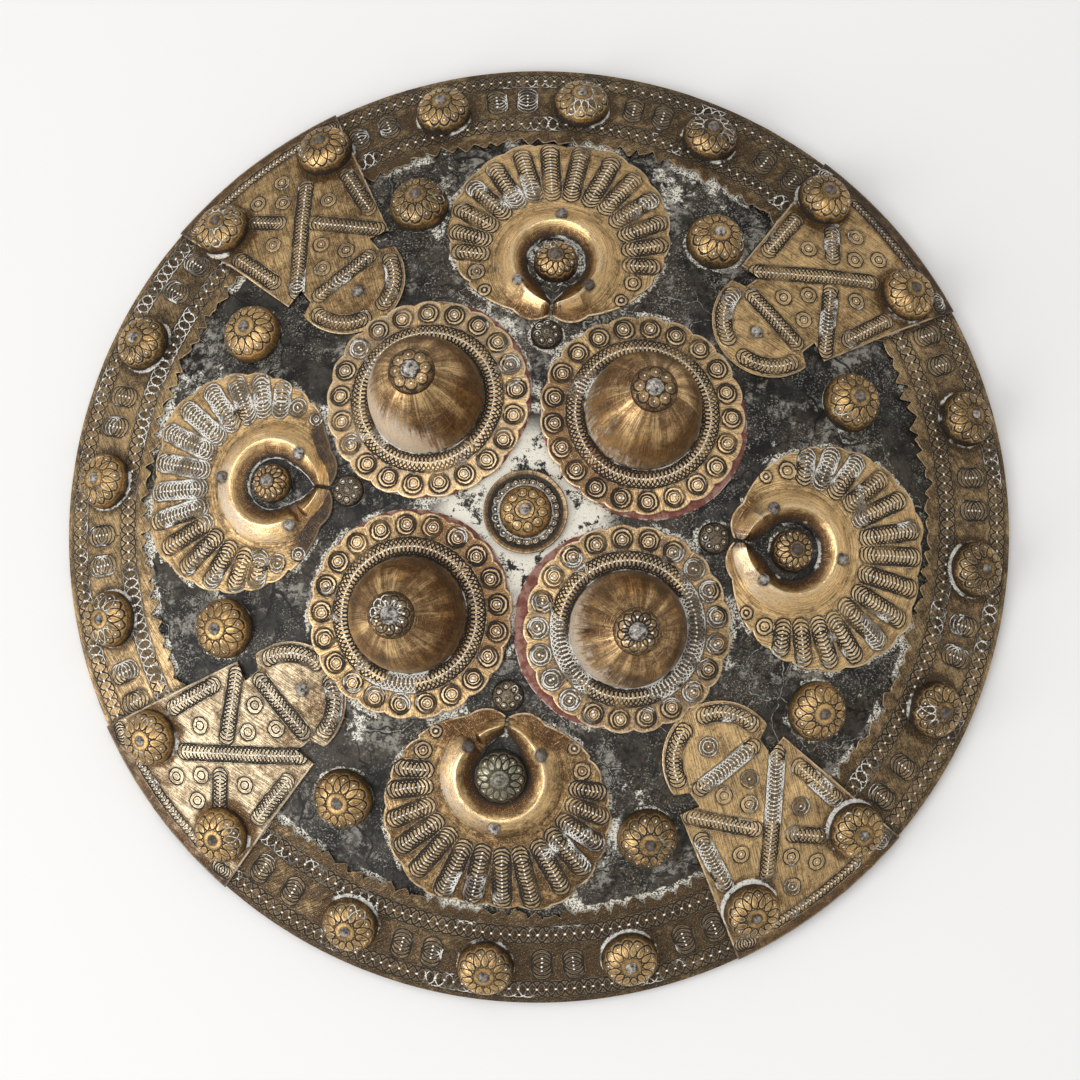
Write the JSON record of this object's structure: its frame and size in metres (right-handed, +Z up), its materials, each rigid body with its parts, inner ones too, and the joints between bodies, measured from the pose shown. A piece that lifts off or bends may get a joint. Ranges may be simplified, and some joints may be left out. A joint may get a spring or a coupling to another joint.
{
  "type": "dhal shield",
  "caption": "Round convex hide shield faced with punched brass: tall bosses, crescent and corner plaques, toothed rim bands, domed studs, and leather grips behind",
  "frame": {"origin": "middle of the circle on which the rim rests, at the lowest point", "axes": "+Z up, out of the face of the shield; +X and +Y span the rim, with +Y at the top of the face as usually shown"},
  "size_m": [0.4498, 0.4498, 0.1125],
  "materials": {
    "hide": "worn black, cracked, with pale residue",
    "brass": "aged and punched, dark in the grooves",
    "dark_brass": "blackened",
    "cloth": "worn red",
    "grip": "worn brown"
  },
  "bodies": {
    "root": {"band_stud_bottom_1": "brass", "band_stud_bottom_2": "brass", "band_stud_bottom_3": "brass", "band_stud_left_1": "brass", "band_stud_left_2": "brass", "band_stud_left_3": "brass", "band_stud_right_1": "brass", "band_stud_right_2": "brass", "band_stud_right_3": "brass", "band_stud_top_1": "brass", "band_stud_top_2": "brass", "band_stud_top_3": "brass", "boss_bottom_left": "brass", "boss_bottom_right": "brass", "boss_cap_bottom_left": "brass", "boss_cap_bottom_right": "brass", "boss_cap_top_left": "brass", "boss_cap_top_right": "brass", "boss_cloth_bottom_left": "cloth", "boss_cloth_bottom_right": "cloth", "boss_cloth_top_left": "cloth", "boss_cloth_top_right": "cloth", "boss_top_left": "brass", "boss_top_right": "brass", "centre_dish": "brass", "centre_stud": "brass", "corner_plaque_bottom_left": "brass", "corner_plaque_bottom_right": "brass", "corner_plaque_top_left": "brass", "corner_plaque_top_right": "brass", "crescent_plaque_bottom": "brass", "crescent_plaque_left": "brass", "crescent_plaque_right": "brass", "crescent_plaque_top": "brass", "crescent_stud_bottom": "brass", "crescent_stud_left": "brass", "crescent_stud_right": "brass", "crescent_stud_top": "brass", "field_stud_1": "brass", "field_stud_2": "brass", "field_stud_3": "brass", "field_stud_4": "brass", "field_stud_5": "brass", "field_stud_6": "brass", "field_stud_7": "brass", "field_stud_8": "brass", "grip_left": "grip", "grip_right": "grip", "hide": "hide", "rim_band_bottom": "brass", "rim_band_left": "brass", "rim_band_right": "brass", "rim_band_top": "brass", "rosette_bottom": "dark_brass", "rosette_left": "dark_brass", "rosette_right": "dark_brass", "rosette_top": "dark_brass"}
  },
  "joints": []
}
